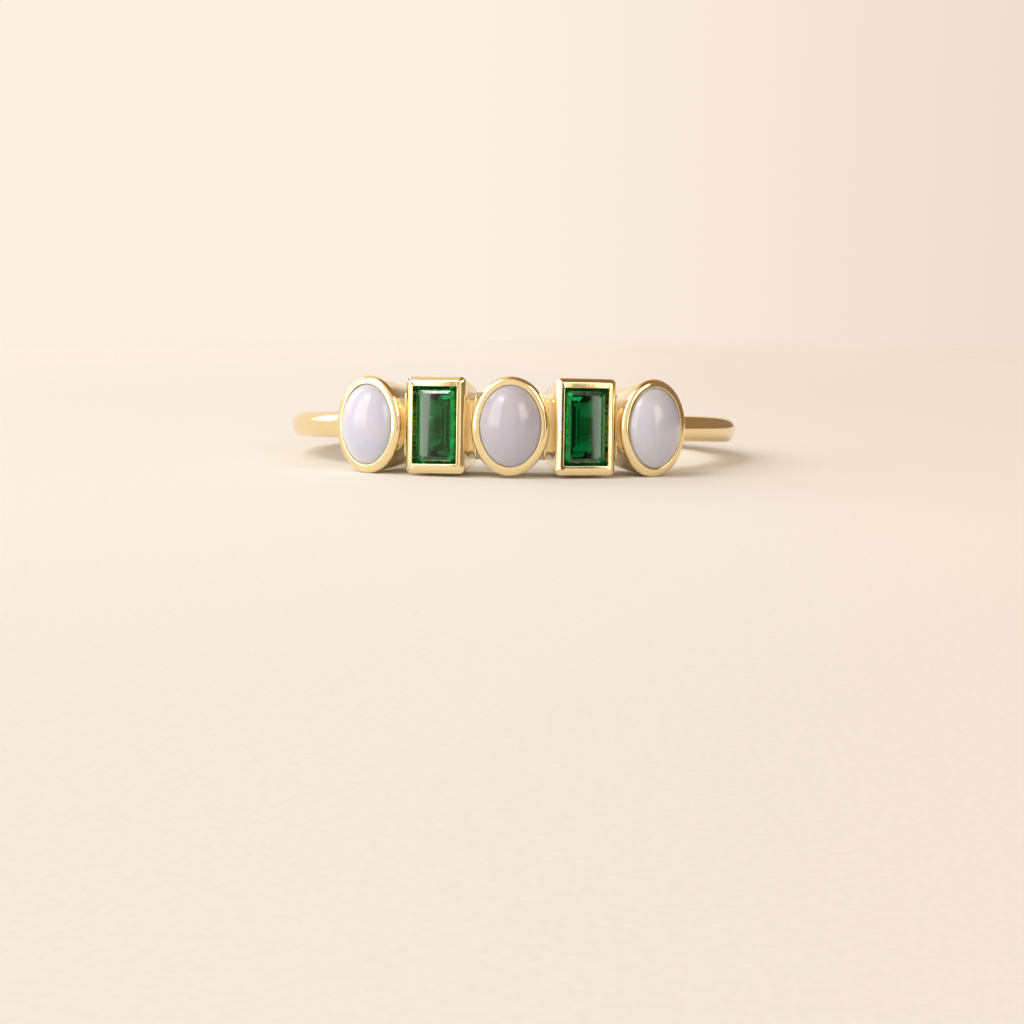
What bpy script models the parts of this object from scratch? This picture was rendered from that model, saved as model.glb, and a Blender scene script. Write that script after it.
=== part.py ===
"""A gold stacking ring: five stones in closed bezels across the front of a slim half-round shank.

Three oval moonstone cabochons take turns with two step-cut emeralds. The ring is made round its own
axis, which is local +Z, with the stones towards -Y. It is then laid on its side as it rests on a table:
on the side bezels in front and on the shank behind, so that its front stands a little high.
Sizes are in metres.
"""

import math
from collections import namedtuple

import bmesh
import bpy
import numpy as np
from mathutils import Vector

# Shank: a half-round wire bent to a ring, flat on the finger's side
FINGER_DIAMETER = 0.01735
FINGER_CUT_LENGTH = 0.00600
SHANK_WIDTH = 0.00110
SHANK_THICKNESS = 0.00135
SHANK_CROWN = 0.00046
SHANK_STEPS = 108
CROWN_POINTS = 10
BORE_ALLOWANCE = 0.00020
MERGE_DISTANCE = 0.000001

# Bridge: the strip behind the bezels that joins them and takes the shank's ends
BRIDGE_WIDTH = 0.00215
BRIDGE_THICKNESS = 0.00200
BRIDGE_EDGE = 0.00020
BRIDGE_EDGE_STEPS = 2
BRIDGE_STEPS = 20

# Bezels: cups a little narrower at the back than at the rim, with a hole behind each stone
BEZEL_HEIGHT = 0.00290
BEZEL_TAPER = math.radians(8.0)
RIM_GAP = 0.00030
RIM_ROUNDING = 0.00015
RIM_STEPS = 4
MOUTH_CHAMFER = 0.00005
STONE_CLEARANCE = 0.00003
BACK_OVERRUN = 0.00030

# Moonstones: oval cabochons with a flat back
MOONSTONE_WIDTH = 0.00258
MOONSTONE_LENGTH = 0.00343
MOONSTONE_DOME = 0.00110
MOONSTONE_BASE = 0.00025
MOONSTONE_SET_DEPTH = 0.00045
MOONSTONE_RIM = 0.000235
MOONSTONE_HOLE_WIDTH = 0.00120
MOONSTONE_HOLE_LENGTH = 0.00200
OVAL_POINTS = 40
DOME_ROWS = 8
DOME_TOP = math.radians(86.0)
SEAT_ROWS = 4
SMOOTH_ANGLE = math.radians(40.0)

# Emeralds: step-cut baguettes with clipped corners
EMERALD_WIDTH = 0.00194
EMERALD_LENGTH = 0.00318
EMERALD_CORNER = 0.00016
EMERALD_CROWN = 0.00048
EMERALD_TABLE_INSET = 0.00042
EMERALD_GIRDLE = 0.00006
EMERALD_PAVILION = 0.00085
EMERALD_KEEL = 0.00006
EMERALD_SET_DEPTH = 0.00058
EMERALD_RIM = 0.000240
EMERALD_END_RIM = 0.00031
EMERALD_LIP = 0.00010
EMERALD_SEAT = 0.00015
EMERALD_HOLE_WIDTH = 0.00080
EMERALD_HOLE_LENGTH = 0.00190
BEZEL_CORNER = 0.00020
CORNER_POINTS = 4

# Rest: the tilt is searched for up to a limit, in halvings
TILT_LIMIT = math.radians(30.0)
TILT_HALVINGS = 40

FINGER_RADIUS = FINGER_DIAMETER / 2
RIM_RADIUS = FINGER_RADIUS + BEZEL_HEIGHT
MOONSTONE_HALF = (MOONSTONE_WIDTH / 2, MOONSTONE_LENGTH / 2)
EMERALD_HALF = (EMERALD_WIDTH / 2, EMERALD_LENGTH / 2)
OVAL_BEZEL_HALF = (MOONSTONE_HALF[0] + MOONSTONE_RIM, MOONSTONE_HALF[1] + MOONSTONE_RIM)
SQUARE_BEZEL_HALF = (EMERALD_HALF[0] + EMERALD_RIM, EMERALD_HALF[1] + EMERALD_END_RIM)

# Facet steps of an emerald. Crown: rise as a share of its height, inset as a share of the table's inset.
# Pavilion: drop as a share of its depth, inset as a share of the way to the keel.
Facet = namedtuple("Facet", "level inset")
CROWN_FACETS = (Facet(0.42, 0.26), Facet(1.0, 1.0))
PAVILION_FACETS = (Facet(0.46, 0.34), Facet(0.78, 0.66), Facet(1.0, 1.0))


def collection_named(name):
    """A new collection in the scene."""
    found = bpy.data.collections.new(name)
    bpy.context.scene.collection.children.link(found)
    return found


def material_named(name, colour, roughness, metallic=0.0, transmission=0.0, ior=1.5):
    """A Principled material."""
    made = bpy.data.materials.new(name)
    made.use_nodes = True
    shader = made.node_tree.nodes["Principled BSDF"]
    shader.inputs["Base Color"].default_value = (*colour, 1.0)
    shader.inputs["Roughness"].default_value = roughness
    shader.inputs["Metallic"].default_value = metallic
    shader.inputs["Transmission Weight"].default_value = transmission
    shader.inputs["IOR"].default_value = ior
    return made


def object_from(bm, name, where, material=None, smooth_angle=None):
    """An object from a bmesh, with its normals outwards."""
    bmesh.ops.recalc_face_normals(bm, faces=bm.faces)
    mesh = bpy.data.meshes.new(name)
    bm.to_mesh(mesh)
    bm.free()
    if smooth_angle is not None:
        mesh.shade_smooth()
        mesh.set_sharp_from_angle(angle=smooth_angle)
    if material is not None:
        mesh.materials.append(material)
    made = bpy.data.objects.new(name, mesh)
    where.objects.link(made)
    return made


def as_cutter(made):
    """Keeps a helper out of the model: it only shapes another object."""
    made.hide_render = True
    made.display_type = "WIRE"
    return made


def oval(half_width, half_length):
    """Points round an ellipse."""
    turns = [2 * math.pi * i / OVAL_POINTS for i in range(OVAL_POINTS)]
    return [(half_width * math.cos(a), half_length * math.sin(a)) for a in turns]


def rectangle(half_width, half_length, corner, points):
    """Points round a rectangle whose corners are arcs of that radius, with that many points to a corner."""
    outline = []
    for quarter, (sx, sy) in enumerate(((1, 1), (-1, 1), (-1, -1), (1, -1))):
        for i in range(points):
            a = math.pi / 2 * (quarter + i / (points - 1))
            outline.append(
                (
                    sx * (half_width - corner) + corner * math.cos(a),
                    sy * (half_length - corner) + corner * math.sin(a),
                )
            )
    return outline


def lofted(sections):
    """A closed body through outlines of equal length: sections holds (z, outline) from end to end."""
    bm = bmesh.new()
    rings = [[bm.verts.new((x, y, z)) for x, y in outline] for z, outline in sections]
    for ring, following in zip(rings, rings[1:]):
        for i in range(len(ring)):
            j = (i + 1) % len(ring)
            bm.faces.new((ring[i], ring[j], following[j], following[i]))
    bm.faces.new(rings[0])
    bm.faces.new(rings[-1])
    return bm


def place_at_rim(made, angle, parent):
    """Turns local +Z outwards and local +Y along the ring's axis, with the origin at the rim's centre."""
    made.location = (RIM_RADIUS * math.sin(angle), -RIM_RADIUS * math.cos(angle), 0.0)
    made.rotation_euler = (math.pi / 2, 0.0, angle)
    made.parent = parent
    return made


def bezel_sections(outline):
    """The outside of a cup, from past the finger hole to its rounded rim, with outline(inset) its shape."""
    sections = []
    for i in range(RIM_STEPS + 1):
        a = math.pi / 2 * i / RIM_STEPS
        inset = RIM_ROUNDING * (1 - math.cos(a))
        sections.append((-RIM_ROUNDING * (1 - math.sin(a)), outline(inset)))
    sections.reverse()
    depth = BEZEL_HEIGHT + BACK_OVERRUN
    taper = (depth - RIM_ROUNDING) * math.tan(BEZEL_TAPER)
    sections.append((-depth, outline(taper)))
    return sections


def oval_bezel_outline(inset):
    return oval(OVAL_BEZEL_HALF[0] - inset, OVAL_BEZEL_HALF[1] - inset)


def square_bezel_outline(inset):
    return rectangle(
        SQUARE_BEZEL_HALF[0] - inset, SQUARE_BEZEL_HALF[1] - inset, BEZEL_CORNER, CORNER_POINTS
    )


def dome_outline(height, grow=0.0):
    """A cabochon's section at a height over its girdle: an ellipse that shrinks as a quarter ellipse."""
    share = math.sqrt(max(0.0, 1 - (height / MOONSTONE_DOME) ** 2))
    return oval(MOONSTONE_HALF[0] * share + grow, MOONSTONE_HALF[1] * share + grow)


def moonstone_sections():
    girdle = -MOONSTONE_SET_DEPTH
    sections = [(girdle - MOONSTONE_BASE, dome_outline(0.0))]
    for i in range(DOME_ROWS):
        height = MOONSTONE_DOME * math.sin(DOME_TOP * i / (DOME_ROWS - 1))
        sections.append((girdle + height, dome_outline(height)))
    return sections


def moonstone_cavity_sections():
    """The seat: a hole from the back up to a ledge, then the stone's shape with the clearance.

    It opens at the mouth, whose chamfer runs on past the rim, so that the rim's flat face cuts it.
    """
    girdle = -MOONSTONE_SET_DEPTH
    grow = STONE_CLEARANCE
    mouth = dome_outline(MOONSTONE_SET_DEPTH, grow + 2 * MOUTH_CHAMFER)
    hole = oval(MOONSTONE_HOLE_WIDTH / 2, MOONSTONE_HOLE_LENGTH / 2)
    ledge = girdle - MOONSTONE_BASE - grow
    sections = [
        (-BEZEL_HEIGHT - BACK_OVERRUN, hole),
        (ledge, hole),
        (ledge, dome_outline(0.0, grow)),
    ]
    for i in range(SEAT_ROWS):
        height = (MOONSTONE_SET_DEPTH - MOUTH_CHAMFER) * i / (SEAT_ROWS - 1)
        sections.append((girdle + height, dome_outline(height, grow)))
    sections.append((MOUTH_CHAMFER, mouth))
    sections.append((BACK_OVERRUN, mouth))
    return sections


def emerald_outline(inset, grow=0.0):
    """The clipped rectangle at an inset from the girdle. Its corners shrink with its width."""
    corner = EMERALD_CORNER * (1 - inset / EMERALD_HALF[0]) + grow / 2
    return rectangle(EMERALD_HALF[0] - inset + grow, EMERALD_HALF[1] - inset + grow, corner, 2)


def emerald_sections():
    """From the keel up to the table."""
    top = -EMERALD_SET_DEPTH
    bottom = top - EMERALD_GIRDLE
    sections = []
    for facet in reversed(PAVILION_FACETS):
        inset = facet.inset * (EMERALD_HALF[0] - EMERALD_KEEL / 2)
        sections.append((bottom - facet.level * EMERALD_PAVILION, emerald_outline(inset)))
    sections.append((bottom, emerald_outline(0.0)))
    sections.append((top, emerald_outline(0.0)))
    for facet in CROWN_FACETS:
        inset = facet.inset * EMERALD_TABLE_INSET
        sections.append((top + facet.level * EMERALD_CROWN, emerald_outline(inset)))
    return sections


def emerald_cavity_sections():
    """The seat: a hole from the back, a pit, a bearing for the pavilion, the girdle's wall and the lip."""
    top = -EMERALD_SET_DEPTH
    bottom = top - EMERALD_GIRDLE
    grow = STONE_CLEARANCE
    first = PAVILION_FACETS[0]
    seat_slope = first.level * EMERALD_PAVILION / (first.inset * (EMERALD_HALF[0] - EMERALD_KEEL / 2))
    lip_slope = CROWN_FACETS[0].level * EMERALD_CROWN / (CROWN_FACETS[0].inset * EMERALD_TABLE_INSET)
    hole = rectangle(EMERALD_HOLE_WIDTH / 2, EMERALD_HOLE_LENGTH / 2, EMERALD_CORNER, 2)
    pit = emerald_outline(EMERALD_SEAT, grow)
    floor = bottom - EMERALD_PAVILION - grow
    lip = emerald_outline(EMERALD_LIP, grow)
    mouth = emerald_outline(EMERALD_LIP, grow + 2 * MOUTH_CHAMFER)
    return [
        (-BEZEL_HEIGHT - BACK_OVERRUN, hole),
        (floor, hole),
        (floor, pit),
        (bottom - EMERALD_SEAT * seat_slope - grow, pit),
        (bottom - grow, emerald_outline(0.0, grow)),
        (top + grow, emerald_outline(0.0, grow)),
        (top + EMERALD_LIP * lip_slope + grow, lip),
        (-MOUTH_CHAMFER, lip),
        (MOUTH_CHAMFER, mouth),
        (BACK_OVERRUN, mouth),
    ]


def shank_profile():
    """The half-round section as (radius, height) pairs, from its top inner corner to its lower one."""
    half = SHANK_WIDTH / 2
    inner = FINGER_RADIUS - BORE_ALLOWANCE
    outer = FINGER_RADIUS + SHANK_THICKNESS
    shoulder = outer - SHANK_CROWN
    points = [(inner, half)]
    for i in range(CROWN_POINTS):
        a = math.pi * (0.5 - i / (CROWN_POINTS - 1))
        points.append((shoulder + SHANK_CROWN * math.cos(a), half * math.sin(a)))
    points.append((inner, -half))
    return points


def shank(where, material):
    """The profile turned right round the finger hole."""
    mesh = bpy.data.meshes.new("ring_metal")
    points = [Vector((r, 0.0, z)) for r, z in shank_profile()]
    edges = [(i, (i + 1) % len(points)) for i in range(len(points))]
    mesh.from_pydata(points, edges, [])
    mesh.materials.append(material)
    made = bpy.data.objects.new("ring_metal", mesh)
    where.objects.link(made)
    screw = made.modifiers.new("turn", "SCREW")
    screw.axis = "Z"
    screw.angle = 2 * math.pi
    screw.steps = screw.render_steps = SHANK_STEPS
    screw.use_merge_vertices = True
    screw.merge_threshold = MERGE_DISTANCE
    screw.use_smooth_shade = True
    return made


def bridge(angle, where):
    """A strip with rounded outer edges, turned from one outer bezel's middle to the other's."""
    half = BRIDGE_WIDTH / 2
    inner = FINGER_RADIUS - BORE_ALLOWANCE
    outer = FINGER_RADIUS + BRIDGE_THICKNESS
    profile = [(inner, -half)]
    turns = [math.pi / 2 * i / BRIDGE_EDGE_STEPS for i in range(BRIDGE_EDGE_STEPS + 1)]
    for side, edge in ((-1, turns), (1, turns[::-1])):
        for a in edge:
            radius = outer - BRIDGE_EDGE * (1 - math.sin(a))
            profile.append((radius, side * (half - BRIDGE_EDGE * (1 - math.cos(a)))))
    profile.append((inner, half))
    bm = bmesh.new()
    start = (math.sin(-angle), -math.cos(-angle))
    verts = [bm.verts.new((r * start[0], r * start[1], z)) for r, z in profile]
    face = bm.faces.new(verts)
    bmesh.ops.spin(
        bm,
        geom=[face, *face.edges, *face.verts],
        cent=(0, 0, 0),
        axis=(0, 0, 1),
        angle=2 * angle,
        steps=BRIDGE_STEPS,
    )
    return as_cutter(object_from(bm, "bridge_strip", where))


def finger_hole(where):
    """The one round cut that leaves the shank, the bridge and the cups' backs flush."""
    bm = bmesh.new()
    bmesh.ops.create_cone(
        bm,
        cap_ends=True,
        segments=SHANK_STEPS,
        radius1=FINGER_RADIUS,
        radius2=FINGER_RADIUS,
        depth=FINGER_CUT_LENGTH,
    )
    hole = as_cutter(object_from(bm, "finger_hole", where))
    # Half a step round, so that no edge of it lies on an edge of the shank
    hole.rotation_euler.z = math.pi / SHANK_STEPS
    return hole


def boolean(made, operation, other):
    """A Boolean with an object or with all of a collection."""
    modifier = made.modifiers.new(operation.lower(), "BOOLEAN")
    modifier.operation = operation
    modifier.solver = "EXACT"
    if isinstance(other, bpy.types.Collection):
        modifier.operand_type = "COLLECTION"
        modifier.collection = other
    else:
        modifier.object = other


def stone_pitch():
    """The angle between neighbouring stones that leaves RIM_GAP between their rims."""
    oval_half = math.atan(OVAL_BEZEL_HALF[0] / RIM_RADIUS)
    square_half = math.atan(SQUARE_BEZEL_HALF[0] / RIM_RADIUS)
    return oval_half + square_half + RIM_GAP / RIM_RADIUS


def world_points(objects):
    """Every point of these objects as built, as rows of x, y, z."""
    graph = bpy.context.evaluated_depsgraph_get()
    rows = []
    for made in objects:
        shown = made.evaluated_get(graph)
        mesh = shown.to_mesh()
        rows += [shown.matrix_world @ vertex.co for vertex in mesh.vertices]
        shown.to_mesh_clear()
    return np.array(rows)


def resting_tilt(points):
    """How far the front is raised at rest: the ring's front and its back then reach equally low."""
    front = points[:, 1] < 0
    low, high = 0.0, TILT_LIMIT
    for _ in range(TILT_HALVINGS):
        tilt = (low + high) / 2
        height = points[:, 2] * math.cos(tilt) - points[:, 1] * math.sin(tilt)
        if height[front].min() < height[~front].min():
            low = tilt
        else:
            high = tilt
    return tilt


def lay_down(frame, objects):
    """Tilts the frame to the ring's rest, and brings the box's bottom centre to the origin."""
    bpy.context.view_layer.update()
    frame.rotation_euler = (-resting_tilt(world_points(objects)), 0.0, 0.0)
    bpy.context.view_layer.update()
    points = world_points(objects)
    low, high = points.min(axis=0), points.max(axis=0)
    frame.location = (-(low[0] + high[0]) / 2, -(low[1] + high[1]) / 2, -low[2])


def build():
    for left in list(bpy.data.objects):
        bpy.data.objects.remove(left)
    ring = collection_named("stacking_ring")
    cups = collection_named("cups")
    seats = collection_named("seats")
    helpers = collection_named("helpers")
    for hidden in (cups, seats, helpers):
        hidden.hide_render = True

    gold = material_named("yellow_gold", (0.86, 0.58, 0.26), 0.12, metallic=1.0)
    moonstone = material_named("moonstone", (0.74, 0.70, 0.80), 0.08, ior=1.52)
    emerald = material_named("emerald", (0.0, 0.19, 0.06), 0.02, transmission=0.8, ior=1.58)

    frame = bpy.data.objects.new("ring_frame", None)
    ring.objects.link(frame)

    pitch = stone_pitch()
    metal = shank(ring, gold)
    metal.parent = frame
    parts = [metal]
    places = (
        ("moonstone_left", -2, "oval"),
        ("emerald_left", -1, "square"),
        ("moonstone_centre", 0, "oval"),
        ("emerald_right", 1, "square"),
        ("moonstone_right", 2, "oval"),
    )
    for name, step, form in places:
        if form == "oval":
            cup = lofted(bezel_sections(oval_bezel_outline))
            seat = lofted(moonstone_cavity_sections())
            stone = object_from(lofted(moonstone_sections()), name, ring, moonstone, SMOOTH_ANGLE)
        else:
            cup = lofted(bezel_sections(square_bezel_outline))
            seat = lofted(emerald_cavity_sections())
            stone = object_from(lofted(emerald_sections()), name, ring, emerald)
        cup = as_cutter(object_from(cup, name + "_cup", cups))
        seat = as_cutter(object_from(seat, name + "_seat", seats))
        for made in (cup, seat, stone):
            place_at_rim(made, step * pitch, frame)
        parts.append(stone)

    hole = finger_hole(helpers)
    strip = bridge(2 * pitch, helpers)
    for helper in (hole, strip):
        helper.parent = frame
    boolean(metal, "UNION", strip)
    boolean(metal, "UNION", cups)
    boolean(metal, "DIFFERENCE", hole)
    boolean(metal, "DIFFERENCE", seats)
    lay_down(frame, parts)


build()
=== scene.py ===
import math

import bmesh
import bpy
import numpy as np
from mathutils import Matrix, Vector


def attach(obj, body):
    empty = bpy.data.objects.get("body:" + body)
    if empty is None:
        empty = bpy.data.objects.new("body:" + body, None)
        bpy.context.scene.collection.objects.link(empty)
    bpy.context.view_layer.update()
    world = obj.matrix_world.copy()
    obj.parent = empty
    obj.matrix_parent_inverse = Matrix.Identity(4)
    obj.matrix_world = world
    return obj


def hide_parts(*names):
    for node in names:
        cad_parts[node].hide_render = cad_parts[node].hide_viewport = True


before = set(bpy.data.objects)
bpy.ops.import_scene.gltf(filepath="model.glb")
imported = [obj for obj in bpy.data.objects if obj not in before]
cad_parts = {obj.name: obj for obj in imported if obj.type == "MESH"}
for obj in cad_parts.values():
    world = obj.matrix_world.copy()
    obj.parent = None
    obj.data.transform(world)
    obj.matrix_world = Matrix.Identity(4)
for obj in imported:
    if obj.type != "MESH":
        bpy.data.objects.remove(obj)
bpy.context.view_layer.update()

# The ring's own axes, found from the three moonstones, because it lies on its side with its front a little
# high. Their middles stand on one circle round the finger: its centre is the ring's centre, its normal is
# the ring's axis, and the middle stone gives the front.

# Sizes are in millimetres and angles in radians, but a material's sizes are in metres
MILLIMETRE = 0.001


def surface_middle(node):
    """The middle of a node's skin: the mean of its triangles' middles, each weighted by its area."""
    mesh = node.data
    corners = np.empty(len(mesh.vertices) * 3)
    mesh.vertices.foreach_get("co", corners)
    corners = corners.reshape(-1, 3)
    mesh.calc_loop_triangles()
    index = np.empty(len(mesh.loop_triangles) * 3, dtype=np.int64)
    mesh.loop_triangles.foreach_get("vertices", index)
    a, b, c = (corners[index.reshape(-1, 3)[:, i]] for i in range(3))
    area = np.linalg.norm(np.cross(b - a, c - a), axis=1)
    return ((a + b + c) / 3 * area[:, None]).sum(0) / area.sum()


def circle_centre(a, b, c):
    """The point as far from a as from b and c, in their plane."""
    u, v = b - a, c - a
    normal = np.cross(u, v)
    across = np.cross(v @ v * u - u @ u * v, normal)
    return a - across / (2 * normal @ normal)


left_middle, front_middle, right_middle = (
    surface_middle(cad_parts["moonstone_" + side]) for side in ("left", "centre", "right")
)
ring_centre = circle_centre(left_middle, front_middle, right_middle)
ring_axis = np.cross(left_middle - ring_centre, right_middle - ring_centre)
ring_axis /= np.linalg.norm(ring_axis)
to_back = ring_centre - front_middle
to_back /= np.linalg.norm(to_back)
ring_turn = np.stack((np.cross(to_back, ring_axis), to_back, ring_axis))


def placed(points):
    """Ring points, in millimetres, taken to the row frame, in metres.

    Each is the ring's centre, plus every axis times the point's length along it.
    """
    return ring_centre + points @ ring_turn * MILLIMETRE


# Shank: a half-round wire of 14 k gold, flat on the finger's side, bent round and soldered to the backs of
# the two outer bezels, where a little solder has run out and thickens it. Filed, then polished by hand, so
# that it is never quite even.

FINGER_RADIUS = 8.675
STONE_PITCH = 0.26112
SHANK_HALF_WIDTH = 0.55
SHANK_THICKNESS = 1.35
SHANK_CROWN = 0.46
SHANK_EDGE = 0.07
SHANK_END_ANGLE = 0.613
SOLDER_START = 0.125
SOLDER_REACH = 0.055
SOLDER_RISE = 0.16
SOLDER_SIDE_SHARE = 0.7
SHANK_ROUND_STEPS = 30
SHANK_EDGE_STEPS = 6
SHANK_SIDE_STEPS = 4
SHANK_FLAT_STEPS = 8
SHANK_PATH_STEPS = 420
SHANK_WAVE = 0.010
WELD_DISTANCE = 0.0001


def wave(turns, seed, orders, height):
    """An uneven line: sines of whole orders, each as high as 1 over its order's root, with drawn phases."""
    draw = np.random.default_rng(seed)
    total = np.zeros_like(turns)
    for order in orders:
        total = total + np.sin(order * turns + draw.uniform(0, 2 * np.pi)) / math.sqrt(order)
    return height * total / math.sqrt(len(orders))


def linear(colour):
    """An sRGB hex colour as linear red, green and blue: each share is divided by 12.92, or raised to 2.4."""
    share = np.array([int(colour[i : i + 2], 16) for i in (1, 3, 5)]) / 255
    low, high = share / 12.92, ((share + 0.055) / 1.055) ** 2.4
    return (*np.where(share <= 0.04045, low, high), 1.0)


def add_node(tree, kind, links=(), **settings):
    """A node with its links, in pairs, and its settings: an input of that name, or else a property."""
    made = tree.nodes.new(kind)
    for name, value in settings.items():
        title = name.replace("_", " ").title() if name != name.title() else name
        if title in made.inputs:
            made.inputs[title].default_value = value
        else:
            setattr(made, name, value)
    for socket, source in links:
        tree.links.new(source, made.inputs[socket])
    return made


def new_material(name):
    """A material with its node tree and its Principled shader."""
    made = bpy.data.materials.new(name)
    made.use_nodes = True
    return made, made.node_tree, made.node_tree.nodes["Principled BSDF"]


def piece(name, points, material, node, flat=False, point_shares=(), face_shares=()):
    """A closed skin over a grid of ring points, rows by columns, that stands for a CAD node.

    Neighbouring rows and columns are joined by quads. Points that meet, at a seam or a pole, are welded,
    and the normals are then turned outwards. Named shares, one per point or one per face, go into
    attributes for the material.
    """
    rows, columns = points.shape[:2]
    index = np.arange(rows * columns).reshape(rows, columns)
    quads = np.stack((index[:-1, :-1], index[:-1, 1:], index[1:, 1:], index[1:, :-1]), axis=-1)
    mesh = bpy.data.meshes.new(name)
    mesh.from_pydata(placed(points.reshape(-1, 3)), [], quads.reshape(-1, 4))
    for domain, shares in (("POINT", point_shares), ("FACE", face_shares)):
        for title, share in shares:
            kept = mesh.attributes.new(title, "FLOAT", domain)
            kept.data.foreach_set("value", share.astype(np.float32).ravel())
    shell = bmesh.new()
    shell.from_mesh(mesh)
    bmesh.ops.remove_doubles(shell, verts=shell.verts, dist=WELD_DISTANCE * MILLIMETRE)
    bmesh.ops.recalc_face_normals(shell, faces=shell.faces)
    shell.to_mesh(mesh)
    shell.free()
    if not flat:
        mesh.shade_smooth()
    mesh.materials.append(material)
    made = bpy.data.objects.new(name, mesh)
    bpy.context.scene.collection.objects.link(made)
    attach(made, "root")
    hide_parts(node)
    return made


# 14 k yellow gold, cast or drawn, polished on a buff: mirror bright, warm, with the buff's faint marks
gold, tree, shader = new_material("polished_14k_gold")
shader.inputs["Metallic"].default_value = 1.0
place = add_node(tree, "ShaderNodeTexCoord")
# One cloud every 0.9 mm, where the buff dwelt longer or shorter
clouds = add_node(tree, "ShaderNodeTexNoise", [("Vector", place.outputs["Object"])], scale=1100.0, detail=3.0)
gloss = add_node(tree, "ShaderNodeMapRange", [("Value", clouds.outputs["Fac"])], to_min=0.06, to_max=0.17)
# The buff doesn't reach between the cups, which stay satin there, and there the gold is painted paler:
# painted light that lightens the recesses between the cups
satin_and_painted_light = add_node(tree, "ShaderNodeAttribute", attribute_name="satin_and_painted_light")
duller = add_node(
    tree,
    "ShaderNodeMath",
    [(0, satin_and_painted_light.outputs["Fac"]), (2, gloss.outputs["Result"])],
    operation="MULTIPLY_ADD",
)
duller.inputs[1].default_value = 0.22
tree.links.new(duller.outputs["Value"], shader.inputs["Roughness"])
# Painted light: where the cups face each other the gold is painted the paler #FDF2D8
gold_with_painted_light = add_node(tree, "ShaderNodeMix", [("Factor", satin_and_painted_light.outputs["Fac"])], data_type="RGBA")
gold_with_painted_light.inputs[6].default_value = linear("#F6E2B0")
gold_with_painted_light.inputs[7].default_value = linear("#FDF2D8")
tree.links.new(gold_with_painted_light.outputs[2], shader.inputs["Base Color"])
# The buff's marks, 0.11 mm apart; real ones are ten times finer and would not show
marks = add_node(
    tree, "ShaderNodeTexNoise", [("Vector", place.outputs["Object"])], scale=9000.0, detail=2.0
)
relief = add_node(
    tree, "ShaderNodeBump", [("Height", marks.outputs["Fac"])], strength=0.10, distance=0.00001
)
tree.links.new(relief.outputs["Normal"], shader.inputs["Normal"])


def shank_points():
    """The half-round profile carried round the ring's axis, from inside one outer bezel to inside the other.

    The profile runs along the flat inside, round a small edge, up the side, over a half ellipse and back.
    Near each end the solder makes it fatter by a rise that falls off as a bell curve.
    """
    edge = np.linspace(0, np.pi / 2, SHANK_EDGE_STEPS)
    dome = np.linspace(np.pi / 2, -np.pi / 2, SHANK_ROUND_STEPS)
    flat = np.linspace(-1, 1, SHANK_FLAT_STEPS)[1:-1] * (SHANK_HALF_WIDTH - SHANK_EDGE)
    shoulder = FINGER_RADIUS + SHANK_THICKNESS - SHANK_CROWN
    side = np.linspace(FINGER_RADIUS + 2 * SHANK_EDGE, shoulder - 2 * SHANK_EDGE, SHANK_SIDE_STEPS)
    top_edge = np.stack(
        (
            FINGER_RADIUS + SHANK_EDGE * (1 - np.cos(edge)),
            SHANK_HALF_WIDTH - SHANK_EDGE * (1 - np.sin(edge)),
        )
    )
    top_side = np.stack((side, np.full_like(side, SHANK_HALF_WIDTH)))
    crown = np.stack((shoulder + SHANK_CROWN * np.cos(dome), SHANK_HALF_WIDTH * np.sin(dome)))
    inside = np.stack((np.full_like(flat, FINGER_RADIUS), flat))
    upper = np.concatenate((top_edge, top_side), axis=1)
    lower = upper[:, ::-1] * np.array([[1.0], [-1.0]])
    profile = np.concatenate((upper, crown, lower, inside, upper[:, :1]), axis=1)
    turn = np.linspace(SHANK_END_ANGLE, 2 * np.pi - SHANK_END_ANGLE, SHANK_PATH_STEPS)[:, None]
    from_end = np.minimum(turn, 2 * np.pi - turn) - 2 * STONE_PITCH - SOLDER_START
    solder = SOLDER_RISE * np.exp(-((np.maximum(from_end, 0) / SOLDER_REACH) ** 2))
    out = (profile[0] - FINGER_RADIUS) / SHANK_THICKNESS
    radius = profile[0] + out * (solder + wave(turn, 3, (2, 3, 7, 11), SHANK_WAVE))
    uneven = wave(turn, 4, (3, 5, 8, 13), SHANK_WAVE)
    height = profile[1] * (1 + solder * SOLDER_SIDE_SHARE + uneven)
    ring = np.stack((radius * np.sin(turn), -radius * np.cos(turn), height + 0 * turn), axis=-1)
    middle = ring.mean(axis=1, keepdims=True) + 0 * ring
    return np.concatenate((middle[:1], ring, middle[-1:]))


piece("shank", shank_points(), gold, "ring_metal")

# Oval bezels: three cups of gold strip round the moonstones, a little narrower at the back, each with a hole
# to the finger. The rim is rubbed over the stone's edge with a burnisher and polished, so that its face is
# softly rounded and its inner line wanders a little.

BEZEL_TAPER = math.tan(math.radians(8.0))
BACK_DEPTH = 2.9
RIM_RADIUS = FINGER_RADIUS + BACK_DEPTH
OVAL_HALF = np.array([1.525, 1.950])
OVAL_OPENING = np.array([1.200, 1.600])
OVAL_HOLE = np.array([0.600, 1.000])
RIM_BEVEL = 0.17
RIM_BEVEL_FLATNESS = 0.4
RIM_CROWN = 0.014
MOONSTONE_GIRDLE = np.array([1.290, 1.715])
MOONSTONE_GIRDLE_DEPTH = 0.45
MOONSTONE_BASE = 0.25
STONE_PLAY = 0.02
LIP_DEPTH = 0.03
LIP_ROUND = 0.045
UNDERCUT_DEPTH = 0.07
HOLE_EDGE = 0.03
BACK_EDGE = 0.05
RIM_WAVE = 0.012
RIM_RIPPLE = 0.004
RIM_UNEVENNESS = 0.008
RIM_WAVE_DEPTH = 0.35
SATIN_START = 0.2
SATIN_GROWTH = 0.7
SATIN_END = 0.9
SATIN_FADE = 0.15
BEVEL_STEPS = 13
FACE_STEPS = 8
LIP_STEPS = 7
WALL_STEPS = 30
OVAL_COLUMNS = 180


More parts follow.
